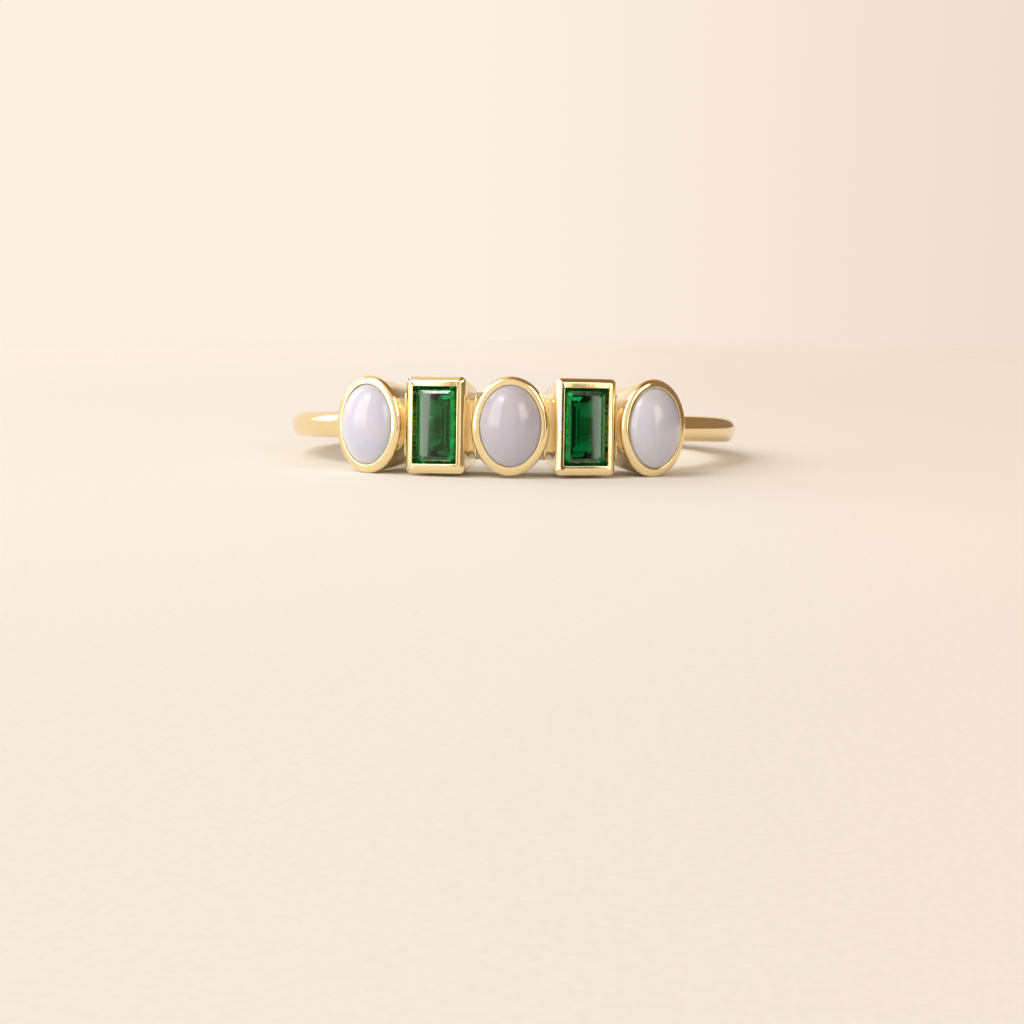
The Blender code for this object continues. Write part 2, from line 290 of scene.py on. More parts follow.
def at_rim(a, b, c, angle):
    """Points given from the middle of a stone's rim: a sideways, b along the ring's axis, c outwards."""
    out = RIM_RADIUS + c
    x = np.sin(angle) * out + np.cos(angle) * a
    y = -np.cos(angle) * out + np.sin(angle) * a
    return np.stack((x, y, b + 0 * x), axis=-1)


def finger_depth(a):
    """How far the finger hole's wall lies under the rim at a sideways distance, by the circle's formula."""
    return np.sqrt(FINGER_RADIUS**2 - a**2) - RIM_RADIUS


def steps(start, end, count):
    """Whole rows from one half width, half length and depth to another, without the last."""
    share = np.arange(count)[:, None] / count
    return np.asarray(start) + (np.asarray(end) - np.asarray(start)) * share


def rim_rows(half, opening, bevel, bevel_flatness, crown, lip_round):
    """The rim from its outer side over its face to the stone, as half width, half length and depth.

    A bevel leads from the wall to the face: a mean of a straight line and a quarter circle, the line
    weighted by the flatness. The face rises on as a parabola, ever flatter, by the height of its crown,
    and a small quarter circle rolls in to the opening.
    """
    outer = np.linspace(0, np.pi / 2, BEVEL_STEPS)
    inner = np.linspace(0, np.pi / 2, LIP_STEPS)
    line = outer[:, None] / (np.pi / 2) * [1, 1] + [0, -1]
    circle = np.stack((1 - np.cos(outer), np.sin(outer) - 1), axis=-1)
    over = bevel * (bevel_flatness * line + (1 - bevel_flatness) * circle)
    first = np.column_stack((half - over[:, :1], over[:, 1] - crown))
    inwards = opening + lip_round * (1 - np.sin(inner))[:, None]
    last = np.column_stack((inwards, -LIP_DEPTH * (1 - np.cos(inner))))
    face = steps(first[-1], last[0], FACE_STEPS)[1:]
    face[:, 2] = -crown * (1 - np.arange(1, FACE_STEPS) / FACE_STEPS) ** 2
    return np.concatenate((first, face, last))


def wall_rows(half, bevel):
    """The outer wall from the bevel to the back, drawn in by the taper times the depth under the bevel."""
    depth = np.linspace(-bevel, -BACK_DEPTH, WALL_STEPS)[1:]
    inset = (-depth - bevel) * BEZEL_TAPER
    return np.column_stack((half[0] - inset, half[1] - inset, depth))


def oval_rows():
    """All rows of an oval bezel: the hole's wall, the ledge, the seat's wall, the lip, the rim and the wall.

    The lip reaches in over the stone from an undercut just below it, so that a thin dark line shows there.
    """
    ledge = -MOONSTONE_GIRDLE_DEPTH - MOONSTONE_BASE - STONE_PLAY
    hole = [*OVAL_HOLE, -BACK_DEPTH]
    hole_top = [*OVAL_HOLE, ledge - HOLE_EDGE]
    ledge_start = [*(OVAL_HOLE + HOLE_EDGE), ledge]
    seat = [*(MOONSTONE_GIRDLE + STONE_PLAY), ledge]
    undercut = [*(MOONSTONE_GIRDLE + STONE_PLAY), -UNDERCUT_DEPTH]
    rim = rim_rows(OVAL_HALF, OVAL_OPENING, RIM_BEVEL, RIM_BEVEL_FLATNESS, RIM_CROWN, LIP_ROUND)[::-1]
    wall = wall_rows(OVAL_HALF, RIM_BEVEL)
    back_edge = [*(wall[-1, :2] - BACK_EDGE), -BACK_DEPTH]
    return np.concatenate(
        (
            steps(hole, hole_top, 12),
            steps(hole_top, ledge_start, 3),
            steps(ledge_start, seat, 4),
            steps(seat, undercut, 8),
            steps(undercut, rim[0], 4),
            rim,
            wall[:-1],
            steps(wall[-1], back_edge, 4),
            steps(back_edge, hole, 8),
            [hole],
        )
    )


def satin_and_painted_light_share(rows, outline, columns, place_number):
    """How dull a cup's skin is, and how far its gold is painted paler there as painted light: not at all near
    the rim, and further down in proportion to the depth.

    Only the parts that face a neighbouring cup are dull and painted paler, and that fades out towards the two
    ends.
    """
    turn = np.linspace(0, 2 * np.pi, columns + 1)
    a, b = outline(rows[:, 0, None], rows[:, 1, None], turn)
    facing = np.clip((SATIN_END - np.abs(b) / rows[:, 1, None]) / SATIN_FADE, 0, 1)
    towards = np.where(abs(place_number) == 2, a * place_number < 0, True)
    return np.clip((-rows[:, 2, None] - SATIN_START) / SATIN_GROWTH, 0, 1) * facing * towards


def bezel_points(rows, outline, columns, angle, seed):
    """A cup's grid: each row is its outline at a depth, and the back rows follow the finger hole's wall.

    The rim's rows sway in and out and up and down by uneven waves, which fade out down the wall.
    """
    turn = np.linspace(0, 2 * np.pi, columns + 1)
    a, b = outline(rows[:, 0, None], rows[:, 1, None], turn)
    c = rows[:, 2, None] + 0 * a
    near_rim = np.exp(-((c / RIM_WAVE_DEPTH) ** 2))
    sway = wave(turn, seed, (2, 3, 5, 8), RIM_WAVE) + wave(turn, seed + 50, (13, 21, 34), RIM_RIPPLE)
    reach = np.hypot(a, b)
    a = a * (1 + near_rim * sway / reach)
    b = b * (1 + near_rim * sway / reach)
    c = c + near_rim * wave(turn, seed + 90, (2, 3, 7), RIM_UNEVENNESS)
    deep = rows[:, 2, None] <= -BACK_DEPTH + 1e-6
    c = np.where(deep, finger_depth(a), np.maximum(c, finger_depth(a)))
    return at_rim(a, b, c, angle)


def oval_outline(half_width, half_length, turn):
    """An ellipse: the half width times the cosine and the half length times the sine."""
    return half_width * np.cos(turn), half_length * np.sin(turn)


oval_places = {"left": -2, "centre": 0, "right": 2}
for side, place_number in oval_places.items():
    rows = oval_rows()
    grid = bezel_points(rows, oval_outline, OVAL_COLUMNS, place_number * STONE_PITCH, 11 + place_number)
    satin_and_painted_light = satin_and_painted_light_share(rows, oval_outline, OVAL_COLUMNS, place_number)
    piece("oval_bezel_" + side, grid, gold, "ring_metal", point_shares=[("satin_and_painted_light", satin_and_painted_light)])

# Square bezels: two cups of flat gold strip, mitred at the corners, round the emeralds. Their outer corners
# are softened in polishing, their inner ones are sharp, and the stone sits in a groove under the rim.

SQUARE_HALF = np.array([1.210, 1.900])
SQUARE_OPENING = np.array([0.900, 1.520])
SQUARE_HOLE = np.array([0.400, 0.950])
SQUARE_CORNER = 0.20
SQUARE_INNER_CORNER = 0.03
SQUARE_BEVEL = 0.165
SQUARE_BEVEL_FLATNESS = 0.8
SQUARE_CROWN = 0.006
SQUARE_LIP_ROUND = 0.02
NICK_DEPTH = 0.12
EMERALD_GIRDLE = np.array([0.970, 1.590])
EMERALD_GIRDLE_DEPTH = 0.58
EMERALD_GIRDLE_THICKNESS = 0.06
EMERALD_PAVILION_DEPTH = 0.85
BEARING_WIDTH = 0.12
BEARING_DROP = 0.22
BEARING_RISE = 0.24
GROOVE_RISE = 0.22
SIDE_COLUMNS = 26
CORNER_COLUMNS = 9


def square_outline(half_width, half_length, turn):
    """A rectangle with rounded corners, whose radius shrinks from the outer wall to the opening.

    Each side runs with its points packed towards its ends, and each corner is a quarter circle.
    """
    share = (half_width - SQUARE_OPENING[0]) / (SQUARE_HALF[0] - SQUARE_OPENING[0])
    corner = SQUARE_INNER_CORNER + (SQUARE_CORNER - SQUARE_INNER_CORNER) * share
    corner = np.clip(corner, SQUARE_INNER_CORNER, SQUARE_CORNER)
    along = (1 - np.cos(np.linspace(0, np.pi, SIDE_COLUMNS))) / 2
    bend = np.linspace(0, np.pi / 2, CORNER_COLUMNS)[1:-1]
    xs, ys = [], []
    for quarter in range(4):
        start = quarter * np.pi / 2
        sx, sy = ((1, 1), (-1, 1), (-1, -1), (1, -1))[quarter]
        nx, ny = ((-1, 1), (-1, -1), (1, -1), (1, 1))[quarter]
        middle_x, middle_y = sx * (half_width - corner), sy * (half_length - corner)
        following_x, following_y = nx * (half_width - corner), ny * (half_length - corner)
        xs.append(middle_x + corner * np.cos(start + bend))
        ys.append(middle_y + corner * np.sin(start + bend))
        end = start + np.pi / 2
        xs.append(middle_x + (following_x - middle_x) * along + corner * np.cos(end))
        ys.append(middle_y + (following_y - middle_y) * along + corner * np.sin(end))
    a, b = np.concatenate(xs, axis=1), np.concatenate(ys, axis=1)
    return np.concatenate((a, a[:, :1]), axis=1), np.concatenate((b, b[:, :1]), axis=1)


def square_rows():
    """All rows of a square bezel: the hole's wall, the pit, the bearing, the groove, the rim and the wall."""
    under_girdle = -EMERALD_GIRDLE_DEPTH - EMERALD_GIRDLE_THICKNESS
    floor = under_girdle - EMERALD_PAVILION_DEPTH - HOLE_EDGE
    bearing = under_girdle - BEARING_DROP
    pit = EMERALD_GIRDLE - BEARING_WIDTH
    groove = EMERALD_GIRDLE + STONE_PLAY
    hole = [*SQUARE_HOLE, -BACK_DEPTH]
    hole_top = [*SQUARE_HOLE, floor - HOLE_EDGE]
    floor_start = [*(SQUARE_HOLE + HOLE_EDGE), floor]
    bearing_top = [*groove, bearing + BEARING_RISE]
    groove_top = [*groove, -EMERALD_GIRDLE_DEPTH + STONE_PLAY]
    throat = [*SQUARE_OPENING, -EMERALD_GIRDLE_DEPTH + GROOVE_RISE]
    rim = rim_rows(
        SQUARE_HALF, SQUARE_OPENING, SQUARE_BEVEL, SQUARE_BEVEL_FLATNESS, SQUARE_CROWN, SQUARE_LIP_ROUND
    )[::-1]
    wall = wall_rows(SQUARE_HALF, SQUARE_BEVEL)
    back_edge = [*(wall[-1, :2] - BACK_EDGE), -BACK_DEPTH]
    return np.concatenate(
        (
            steps(hole, hole_top, 10),
            steps(hole_top, floor_start, 3),
            steps(floor_start, [*pit, floor], 3),
            steps([*pit, floor], [*pit, bearing], 4),
            steps([*pit, bearing], bearing_top, 3),
            steps(bearing_top, groove_top, 3),
            steps(groove_top, throat, 3),
            steps(throat, rim[0], 6),
            rim,
            wall[:-1],
            steps(wall[-1], back_edge, 4),
            steps(back_edge, hole, 8),
            [hole],
        )
    )


SQUARE_COLUMNS = 4 * (SIDE_COLUMNS + CORNER_COLUMNS - 2)
square_places = {"left": -1, "right": 1}
for side, place_number in square_places.items():
    rows = square_rows()
    grid = bezel_points(rows, square_outline, SQUARE_COLUMNS, place_number * STONE_PITCH, 31 + place_number)
    # The left cup's two mitres on the outer side were not quite closed and show as nicks
    if side == "left":
        for quarter in (1, 2):
            column = quarter * SQUARE_COLUMNS // 4 + CORNER_COLUMNS // 2 - 1
            nicked = (rows[:, 2] > -SQUARE_BEVEL) & (rows[:, 0] > SQUARE_OPENING[0])
            grid[nicked, column] *= 1 - NICK_DEPTH / RIM_RADIUS
    satin_and_painted_light = satin_and_painted_light_share(rows, square_outline, SQUARE_COLUMNS, place_number)
    piece("square_bezel_" + side, grid, gold, "ring_metal", point_shares=[("satin_and_painted_light", satin_and_painted_light)])

# Links: four short strips of gold between neighbouring bezels, set back from the rims and soldered in. The
# solder climbs both walls in a small hollow fillet.

LINK_HALF_WIDTH = 1.075
LINK_THICKNESS = 2.0
LINK_EDGE = 0.20
LINK_OVERLAP = 0.12
LINK_FILLET = 0.13
LINK_FILLET_REACH = 0.16
LINK_FILLET_LIMIT = 1.4
LINK_STEPS = 28
LINK_SIDE_STEPS = 5
LINK_EDGE_STEPS = 7
LINK_FACE_STEPS = 10


def link_points(start, end):
    """A rounded strip carried round the ring's axis between two angles.

    Its ends stand in the bezels' walls. Its outer side and its two edges rise towards both walls as the
    square of the nearness to them.
    """
    bend = np.linspace(0, np.pi / 2, LINK_EDGE_STEPS)
    outer = FINGER_RADIUS + LINK_THICKNESS
    side = np.linspace(FINGER_RADIUS, outer - LINK_EDGE, LINK_SIDE_STEPS + 1)[:-1]
    radius = np.concatenate((side, outer - LINK_EDGE * (1 - np.sin(bend))))
    edge = LINK_HALF_WIDTH - LINK_EDGE * (1 - np.cos(bend))
    height = np.concatenate((np.full_like(side, LINK_HALF_WIDTH), edge))
    face = np.linspace(1, -1, LINK_FACE_STEPS + 2)[1:-1] * (LINK_HALF_WIDTH - LINK_EDGE)
    profile_radius = np.concatenate((radius, np.full_like(face, outer), radius[::-1], [FINGER_RADIUS]))
    profile_height = np.concatenate((height, face, -height[::-1], [LINK_HALF_WIDTH]))
    turn = np.linspace(start, end, LINK_STEPS)[:, None]
    from_wall = np.minimum(turn - start, end - turn) * outer - LINK_OVERLAP
    rise = LINK_FILLET * np.clip(1 - from_wall / LINK_FILLET_REACH, 0, LINK_FILLET_LIMIT) ** 2
    out = (profile_radius - FINGER_RADIUS) / LINK_THICKNESS
    grown_radius = profile_radius + out * rise
    grown_height = profile_height * (1 + rise / LINK_HALF_WIDTH)
    ring = np.stack((grown_radius * np.sin(turn), -grown_radius * np.cos(turn), grown_height), axis=-1)
    middle = ring.mean(axis=1, keepdims=True) + 0 * ring
    return np.concatenate((middle[:1], ring, middle[-1:]))


# Gold solder: a paler alloy than the cups, left as it flowed, satin
solder, tree, shader = new_material("pale_gold_solder")
shader.inputs["Base Color"].default_value = linear("#FDF0D2")
shader.inputs["Metallic"].default_value = 1.0
place = add_node(tree, "ShaderNodeTexCoord")
# Flow marks, 0.15 mm apart
flow = add_node(tree, "ShaderNodeTexNoise", [("Vector", place.outputs["Object"])], scale=6500.0, detail=3.0)
gloss = add_node(tree, "ShaderNodeMapRange", [("Value", flow.outputs["Fac"])], to_min=0.22, to_max=0.45)
tree.links.new(gloss.outputs["Result"], shader.inputs["Roughness"])
relief = add_node(tree, "ShaderNodeBump", [("Height", flow.outputs["Fac"])], strength=0.3, distance=0.00002)
tree.links.new(relief.outputs["Normal"], shader.inputs["Normal"])

# How far from a bezel's middle its neighbouring links begin
OVAL_REACH = 0.1235
SQUARE_REACH = 0.0945
for number, name in enumerate(("outer_left", "inner_left", "inner_right", "outer_right")):
    first = (number - 2) * STONE_PITCH + (OVAL_REACH if number % 2 == 0 else SQUARE_REACH)
    last = (number - 1) * STONE_PITCH - (SQUARE_REACH if number % 2 == 0 else OVAL_REACH)
    piece("link_" + name, link_points(first, last), solder, "ring_metal")

# Moonstones: three oval cabochons of milky lilac moonstone, cut to a smooth dome over a flat back and
# polished. Light goes a little way in and comes back from inside, cooler where the layers lie flat.


def moonstone_material(name, cool, milky, warm):
    """Milky moonstone with its own three tints: the cool and the warm layers, and the milk between them."""
    made, tree, shader = new_material(name)
    place = add_node(tree, "ShaderNodeTexCoord")
    # Milky layers, 1.4 mm across, warped by finer ones
    layers = add_node(
        tree,
        "ShaderNodeTexNoise",
        [("Vector", place.outputs["Object"])],
        scale=700.0,
        detail=4.0,
        distortion=0.8,
    )
    tint = add_node(tree, "ShaderNodeValToRGB", [("Fac", layers.outputs["Fac"])])
    tint.color_ramp.elements[0].position = 0.28
    tint.color_ramp.elements[0].color = linear(cool)
    tint.color_ramp.elements[1].position = 0.72
    tint.color_ramp.elements[1].color = linear(warm)
    tint.color_ramp.elements.new(0.5).color = linear(milky)
    tree.links.new(tint.outputs["Color"], shader.inputs["Base Color"])
    shader.inputs["Roughness"].default_value = 0.28
    shader.inputs["IOR"].default_value = 1.52
    shader.inputs["Specular IOR Level"].default_value = 0.25
    shader.inputs["Subsurface Weight"].default_value = 0.6
    shader.inputs["Subsurface Radius"].default_value = (0.0006, 0.0005, 0.0006)
    shader.inputs["Subsurface Scale"].default_value = 1.0
    shader.inputs["Coat Weight"].default_value = 1.0
    shader.inputs["Coat Roughness"].default_value = 0.05
    shader.inputs["Coat IOR"].default_value = 1.5
    return made


# No two stones are quite alike: the left one is the whitest, in part painted light for the stronger light it
# gets from the left, and the middle one the greyest
moonstones = {
    "left": moonstone_material("white_moonstone", "#BEC5DC", "#C6C9DB", "#D2C9D4"),
    "centre": moonstone_material("grey_moonstone", "#ACB2C6", "#B5B4C2", "#BEB4BE"),
    "right": moonstone_material("lilac_moonstone", "#B4BCD0", "#BEC1CE", "#C7BFC9"),
}

MOONSTONE_DOME = 1.10
MOONSTONE_BACK_EDGE = 0.03
DOME_STEPS = 48


def moonstone_points(angle):
    """A dome that shrinks as a quarter ellipse up to its pole, over a straight edge and a flat back."""
    rise = np.linspace(np.pi / 2, 0, DOME_STEPS)
    base = -MOONSTONE_GIRDLE_DEPTH - MOONSTONE_BASE
    share = np.concatenate((np.cos(rise), [1.0, 1.0 - MOONSTONE_BACK_EDGE, 0.5, 0.0]))
    dome = -MOONSTONE_GIRDLE_DEPTH + MOONSTONE_DOME * np.sin(rise)
    depth = np.concatenate((dome, [base + MOONSTONE_BACK_EDGE, base, base, base]))
    turn = np.linspace(0, 2 * np.pi, OVAL_COLUMNS + 1)
    half = share[:, None] * MOONSTONE_GIRDLE
    a, b = oval_outline(half[:, :1], half[:, 1:], turn)
    return at_rim(a, b, depth[:, None] + 0 * a, angle)


for side, place_number in oval_places.items():
    grid = moonstone_points(place_number * STONE_PITCH)
    piece("moonstone_cabochon_" + side, grid, moonstones[side], "moonstone_" + side)

# Emeralds: two step-cut baguettes with clipped corners: a table, three crown steps, a thin girdle and three
# pavilion steps down to a keel. Saturated green, clear enough for light to return from the gold behind.

emerald, tree, shader = new_material("step_cut_emerald")
place = add_node(tree, "ShaderNodeTexCoord")
# The stone's garden of inclusions, 0.25 mm apart
garden = add_node(
    tree,
    "ShaderNodeTexNoise",
    [("Vector", place.outputs["Object"])],
    scale=4000.0,
    detail=4.0,
    distortion=1.0,
)
tint = add_node(tree, "ShaderNodeValToRGB", [("Fac", garden.outputs["Fac"])])
tint.color_ramp.elements[0].position = 0.35
tint.color_ramp.elements[0].color = linear("#007A2C")
tint.color_ramp.elements[1].position = 0.70
tint.color_ramp.elements[1].color = linear("#00CC50")
# Painted light: the crystal is deep green through the table and painted lighter towards its long edges, where
# light comes back through the stone
depth = add_node(tree, "ShaderNodeAttribute", attribute_name="painted_light_zone")
deep = add_node(tree, "ShaderNodeMix", [("Factor", depth.outputs["Fac"])], data_type="RGBA")
deep.inputs[6].default_value = linear("#006C3A")
tree.links.new(tint.outputs["Color"], deep.inputs[7])
# Painted reflection: the bright gold round the stone is painted in flecks, 0.1 mm apart, into the crown's
# outer facets
painted_gold_gleam = add_node(tree, "ShaderNodeAttribute", attribute_name="painted_gold_gleam")
glitter = add_node(
    tree, "ShaderNodeTexNoise", [("Vector", place.outputs["Object"])], scale=9500.0, detail=2.0
)
painted_gold_flecks = add_node(
    tree, "ShaderNodeMapRange", [("Value", glitter.outputs["Fac"]), ("To Max", painted_gold_gleam.outputs["Fac"])]
)
painted_gold_flecks.inputs["From Min"].default_value = 0.38
painted_gold_flecks.inputs["From Max"].default_value = 0.58
painted_gilt = add_node(
    tree, "ShaderNodeMix", [("Factor", painted_gold_flecks.outputs["Result"]), (6, deep.outputs[2])], data_type="RGBA"
)
painted_gilt.inputs[7].default_value = linear("#E0D284")
tree.links.new(painted_gilt.outputs[2], shader.inputs["Base Color"])
shader.inputs["Roughness"].default_value = 0.0
shader.inputs["IOR"].default_value = 1.58
shader.inputs["Coat IOR"].default_value = 1.58
shader.inputs["Specular Tint"].default_value = linear("#C8FFE6")
# The table and the two facets at its ends have the last, glossiest polish
polish = add_node(tree, "ShaderNodeMapRange", [("Value", depth.outputs["Fac"])], to_min=1.0, to_max=0.0)
polish.inputs["From Max"].default_value = 0.2
tree.links.new(polish.outputs["Result"], shader.inputs["Coat Weight"])
# The zones of painted light and the painted gold flecks are cloudier, so that half of the light turns back
# near the surface
cloudy = add_node(
    tree,
    "ShaderNodeMath",
    [(0, depth.outputs["Fac"]), (1, painted_gold_flecks.outputs["Result"])],
    operation="MAXIMUM",
)
clear = add_node(tree, "ShaderNodeMapRange", [("Value", cloudy.outputs["Value"])], to_min=1.0, to_max=0.5)
tree.links.new(clear.outputs["Result"], shader.inputs["Transmission Weight"])

EMERALD_CLIP = 0.16
# Each step's edge: its distance from the girdle, above or below it, and how far it stands in from its outline
CROWN_STEPS = ((0.48, 0.35), (0.41, 0.19), (0.24, 0.08), (0.0, 0.0))
PAVILION_STEPS = ((0.0, 0.0), (0.391, 0.3196), (0.663, 0.6204), (EMERALD_PAVILION_DEPTH, 0.94))
# How much painted light lightens the green in each row of facets, from the table down to the keel
PAINTED_ROW_LIGHTS = (0.0, 0.55, 0.45, 0.4, 0.4, 0.3, 0.2, 0.1, 0.1)
PAINTED_LIGHT_LEAN = 0.9
PAINTED_OUTER_CROWN_LIGHT = 0.45


def emerald_points(angle):
    """The clipped rectangle carried from the table's middle over each facet's edge to the keel's middle."""
    above = [height for height, inset in CROWN_STEPS]
    below = [-EMERALD_GIRDLE_THICKNESS - depth for depth, inset in PAVILION_STEPS]
    rise = np.array(above + below)
    inset = np.array([inset for height, inset in CROWN_STEPS + PAVILION_STEPS])
    half_width = (EMERALD_GIRDLE[0] - inset)[:, None]
    half_length = (EMERALD_GIRDLE[1] - inset)[:, None]
    clip = EMERALD_CLIP * half_width / EMERALD_GIRDLE[0]
    sign_a = np.array([1, 1, 1, -1, -1, -1, -1, 1, 1])
    sign_b = np.array([-1, 1, 1, 1, 1, -1, -1, -1, -1])
    clip_a = np.array([0, 0, 1, 1, 0, 0, 1, 1, 0])
    a = sign_a * (half_width - clip * clip_a)
    b = sign_b * (half_length - clip * (1 - clip_a))
    c = (rise - EMERALD_GIRDLE_DEPTH)[:, None] + 0 * a
    middle = np.zeros((1, 9))
    a = np.concatenate((middle, a, middle))
    b = np.concatenate((middle, b, middle))
    c = np.concatenate((c[:1], c, c[-1:]))
    return at_rim(a, b, c, angle)


def painted_facet_shares(place_number):
    """Two painted shares per facet: how much painted light lightens its green, and how much painted
    reflection of the gold round it shows in it.

    The painted green is deepest on the table and lightest on the crown towards the middle stone, and the
    upper crown facets at both ends are as deep as the table. On the outer side, away from the middle stone,
    the crown is in between, and the painted gold gleams in its two lower steps.
    """
    down = np.array(PAINTED_ROW_LIGHTS)[:, None]
    across = np.array([1, 0.5, 0, -0.5, -1, -0.5, 0, 0.5])
    outer = across * place_number == 1
    light = np.clip(down * (1.0 - PAINTED_LIGHT_LEAN * across * place_number), 0, 1)
    light[1, across == 0] = 0
    light[1:4, outer] = PAINTED_OUTER_CROWN_LIGHT
    painted_gold_gleam = np.zeros_like(light)
    painted_gold_gleam[2:4] = outer
    return [("painted_light_zone", light), ("painted_gold_gleam", painted_gold_gleam)]


for side, place_number in square_places.items():
    grid = emerald_points(place_number * STONE_PITCH)
    piece(
        "emerald_baguette_" + side,
        grid,
        emerald,
        "emerald_" + side,
        flat=True,
        face_shares=painted_facet_shares(place_number),
    )

# Studio: a round sheet of white card under the ring. The air round it has nearly the lit card's colour, a
# little brighter on the left, and the card fades into it far out, so that no edge shows and hardly a
# horizon. The air is brown overhead, more so on the right.

CARD_RADIUS = 320.0
CARD_ROWS = 40
CARD_COLUMNS = 96

card, tree, shader = new_material("white_card")
place = add_node(tree, "ShaderNodeTexCoord")
# The card's grain, a fleck every 0.15 mm
grain = add_node(tree, "ShaderNodeTexNoise", [("Vector", place.outputs["Object"])], scale=6500.0, detail=3.0)
tint = add_node(tree, "ShaderNodeValToRGB", [("Fac", grain.outputs["Fac"])])
tint.color_ramp.elements[0].position = 0.3
tint.color_ramp.elements[0].color = linear("#E7E8E9")
tint.color_ramp.elements[1].position = 0.7
tint.color_ramp.elements[1].color = linear("#EBECED")
# Painted light and shade: it is painted lighter further out, where the soft boxes' light falls off, and
# painted darker to the right and to the front, where the light is weaker
far = add_node(tree, "ShaderNodeVectorMath", [("Vector", place.outputs["Object"])], operation="LENGTH")
far_painted_light = add_node(
    tree, "ShaderNodeMapRange", [("Value", far.outputs["Value"])], interpolation_type="SMOOTHSTEP"
)
far_painted_light.inputs["From Min"].default_value = 0.045
far_painted_light.inputs["From Max"].default_value = 0.160
lightened_far_out = add_node(
    tree, "ShaderNodeMix", [("Factor", far_painted_light.outputs["Result"]), (6, tint.outputs["Color"])], data_type="RGBA"
)
lightened_far_out.inputs[7].default_value = linear("#F1F0EF")
across = add_node(tree, "ShaderNodeSeparateXYZ", [("Vector", place.outputs["Object"])])
paper = lightened_far_out.outputs[2]
# Painted shade: the card is made darker to the right and to the front
for axis, start, end, shade in (("X", -0.010, 0.030, "#F9F5F1"), ("Y", -0.020, -0.058, "#F9F8F8")):
    bend = add_node(
        tree, "ShaderNodeMapRange", [("Value", across.outputs[axis])], interpolation_type="SMOOTHSTEP"
    )
    bend.inputs["From Min"].default_value = start
    bend.inputs["From Max"].default_value = end
    painted_shade = add_node(
        tree,
        "ShaderNodeMix",
        [("Factor", bend.outputs["Result"]), (6, paper)],
        data_type="RGBA",
        blend_type="MULTIPLY",
    )
    painted_shade.inputs[7].default_value = linear(shade)
    paper = painted_shade.outputs[2]
tree.links.new(paper, shader.inputs["Base Color"])
shader.inputs["Roughness"].default_value = 0.9
shader.inputs["Specular IOR Level"].default_value = 0.1
# Out from 60 mm the sheet fades away, and it is gone just short of its edge
fade = add_node(
    tree, "ShaderNodeMapRange", [("Value", far.outputs["Value"])], interpolation_type="SMOOTHSTEP"
)
fade.inputs["From Min"].default_value = 0.06
fade.inputs["From Max"].default_value = 0.31
clear = add_node(tree, "ShaderNodeBsdfTransparent")
mixed = add_node(
    tree,
    "ShaderNodeMixShader",
    [("Fac", fade.outputs["Result"]), (1, shader.outputs["BSDF"]), (2, clear.outputs["BSDF"])],
)
tree.links.new(mixed.outputs["Shader"], tree.nodes["Material Output"].inputs["Surface"])


def stage_sheet(name, points, material):
    """A sheet of the studio: a grid of points in millimetres, rows by columns, joined by quads and welded."""
    index = np.arange(points.shape[0] * points.shape[1]).reshape(points.shape[:2])
    quads = np.stack((index[:-1, :-1], index[1:, :-1], index[1:, 1:], index[:-1, 1:]), axis=-1)
    mesh = bpy.data.meshes.new(name)
    mesh.from_pydata(points.reshape(-1, 3) * MILLIMETRE, [], quads.reshape(-1, 4))
    shell = bmesh.new()
    shell.from_mesh(mesh)
    bmesh.ops.remove_doubles(shell, verts=shell.verts, dist=WELD_DISTANCE * MILLIMETRE)
    shell.to_mesh(mesh)
    shell.free()
    mesh.materials.append(material)
    made = bpy.data.objects.new(name, mesh)
    bpy.context.scene.collection.objects.link(made)
    return made


# A disc: rings of points whose radii grow as a cube, so that the rings are close together near the stones
reach = CARD_RADIUS * np.linspace(0, 1, CARD_ROWS)[:, None] ** 3
turn = np.linspace(0, 2 * np.pi, CARD_COLUMNS + 1)
grid = np.stack((reach * np.cos(turn), reach * np.sin(turn), 0 * reach * turn), axis=-1)
stage_sheet("card_sheet", grid, card)

world = bpy.data.worlds.new("studio_air")
world.use_nodes = True
tree = world.node_tree
place = add_node(tree, "ShaderNodeTexCoord")
way = add_node(tree, "ShaderNodeSeparateXYZ", [("Vector", place.outputs["Generated"])])
side = add_node(tree, "ShaderNodeMapRange", [("Value", way.outputs["X"])], from_min=-0.04, from_max=0.30)
level = add_node(tree, "ShaderNodeMix", [("Factor", side.outputs["Result"])], data_type="RGBA")
level.inputs[6].default_value = linear("#FDF0E2")
level.inputs[7].default_value = linear("#EEDCCD")
height = add_node(
    tree, "ShaderNodeMath", [(0, way.outputs["X"]), (2, way.outputs["Z"])], operation="MULTIPLY_ADD"
)
height.inputs[1].default_value = 0.4
sky = add_node(tree, "ShaderNodeValToRGB", [("Fac", height.outputs["Value"])])
sky.color_ramp.elements[0].position = 0.60
sky.color_ramp.elements[0].color = linear("#FFFFFF")
sky.color_ramp.elements[1].position = 1.0
sky.color_ramp.elements[1].color = linear("#9A846C")
sky.color_ramp.elements.new(0.88).color = linear("#F2EADE")
dimmed = add_node(tree, "ShaderNodeMix", data_type="RGBA", blend_type="MULTIPLY")
dimmed.inputs["Factor"].default_value = 1.0
tree.links.new(level.outputs[2], dimmed.inputs[6])
tree.links.new(sky.outputs["Color"], dimmed.inputs[7])
tree.links.new(dimmed.outputs[2], tree.nodes["Background"].inputs["Color"])
bpy.context.scene.world = world
bpy.context.scene.view_settings.view_transform = "Standard"

# Soft boxes: upright panels, a large one to the left of the camera, a low one to its right, each with a
# brighter head, and one behind on the left. The gold and the stones mirror them. The inner edges of the
# front two stand where their light just reaches the outer half of an emerald's table.

SOFT_BOX_DISTANCE = 600.0


